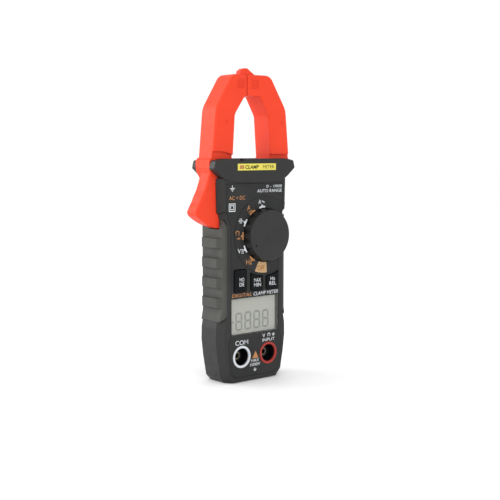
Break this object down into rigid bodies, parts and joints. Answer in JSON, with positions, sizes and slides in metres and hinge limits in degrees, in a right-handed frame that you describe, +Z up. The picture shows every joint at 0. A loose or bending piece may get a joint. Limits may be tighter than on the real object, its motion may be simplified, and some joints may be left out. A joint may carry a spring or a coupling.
{
  "type": "clamp meter",
  "caption": "Handheld clamp meter: hinged red jaw with side trigger, hand guard, rotary switch, keys, display window, test-lead sockets and a lift-off battery door.",
  "frame": {"origin": "on the foot of the case, at its centre line, level with the mid plane of the jaws", "axes": "+Z up along the instrument from foot to jaws, -Y out of the front panel, +X to the right seen from the front"},
  "size_m": [0.0916, 0.0348, 0.24],
  "materials": {
    "case_plastic": "fine-grained moulded black plastic",
    "grip_rubber": "soft grey-black overmoulded rubber",
    "jaw_plastic": "satin orange-red plastic",
    "panel_film": "printed film, matt black",
    "label_film": "printed yellow label",
    "knob_plastic": "black plastic",
    "key_rubber": "black silicone rubber",
    "mat_rubber": "translucent grey silicone rubber",
    "window_plastic": "clear window",
    "lcd": "reflective liquid-crystal display",
    "white_plastic": "white plastic",
    "red_plastic": "red plastic",
    "nickel": "plated brass",
    "steel": "plated steel",
    "core_steel": "laminated core steel",
    "board": "green solder mask",
    "chip": "moulded black epoxy",
    "cell": "printed battery jacket",
    "wire": "wire insulation"
  },
  "bodies": {
    "case": {"battery_cells": "cell", "battery_plates": "steel", "battery_springs": "steel", "buzzer": "chip", "case_screws": "steel", "detent_spring": "steel", "fixed_jaw": "jaw_plastic", "fixed_jaw_core": "core_steel", "fixed_jaw_cover": "jaw_plastic", "front_housing": "case_plastic", "front_panel": "panel_film", "grip_left": "grip_rubber", "grip_right": "grip_rubber", "hall_sensor": "chip", "input_resistors": "chip", "jaw_screws": "steel", "keypad_mat": "mat_rubber", "lcd_contact_strips": "key_rubber", "lcd_frame": "white_plastic", "lcd_glass": "lcd", "lcd_window": "window_plastic", "main_pcb": "board", "measurement_chip": "chip", "name_plate": "label_film", "pcb_screws": "steel", "pivot_pin": "steel", "rear_housing": "case_plastic", "sensor_cable": "wire", "sensor_connector": "white_plastic", "socket_leads": "wire", "socket_ring_com": "white_plastic", "socket_ring_volt": "red_plastic", "socket_shell_com": "case_plastic", "socket_shell_volt": "case_plastic", "socket_sleeve_com": "nickel", "socket_sleeve_volt": "nickel", "timing_crystal": "steel", "trigger_spring": "steel"},
    "moving_jaw": {"moving_jaw": "jaw_plastic", "moving_jaw_cover": "jaw_plastic", "moving_jaw_core": "core_steel"},
    "knob": {"rotary_knob": "knob_plastic", "switch_rotor": "white_plastic", "switch_wipers": "nickel"},
    "key_left": {"key_left": "key_rubber"},
    "key_middle": {"key_middle": "key_rubber"},
    "key_right": {"key_right": "key_rubber"},
    "battery_door": {"battery_door": "case_plastic", "battery_door_screw": "steel"}
  },
  "joints": [
    {"name": "jaw_hinge", "type": "hinge", "parent": "case", "child": "moving_jaw", "pos_m": [-0.022, 0, 0.163], "axis": [0, -1, 0], "range_deg": [0, 25], "stiffness_Nm_per_rad": 0.6, "springref_deg": -28.65, "deforming": ["trigger_spring"]},
    {"name": "knob_turn", "type": "hinge", "parent": "case", "child": "knob", "pos_m": [0.0097, 0, 0.113], "axis": [0, -1, 0], "range_deg": [-110, 55], "deforming": ["detent_spring"]},
    {"name": "key_left_press", "type": "slide", "parent": "case", "child": "key_left", "axis": [0, 1, 0], "range_m": [0, 0.001], "stiffness_N_per_m": 900, "springref_m": -0.0005},
    {"name": "key_middle_press", "type": "slide", "parent": "case", "child": "key_middle", "axis": [0, 1, 0], "range_m": [0, 0.001], "stiffness_N_per_m": 900, "springref_m": -0.0005},
    {"name": "key_right_press", "type": "slide", "parent": "case", "child": "key_right", "axis": [0, 1, 0], "range_m": [0, 0.001], "stiffness_N_per_m": 900, "springref_m": -0.0005},
    {"name": "battery_door_lift", "type": "slide", "parent": "case", "child": "battery_door", "axis": [0, 1, 0], "range_m": [0, 0.03]}
  ]
}
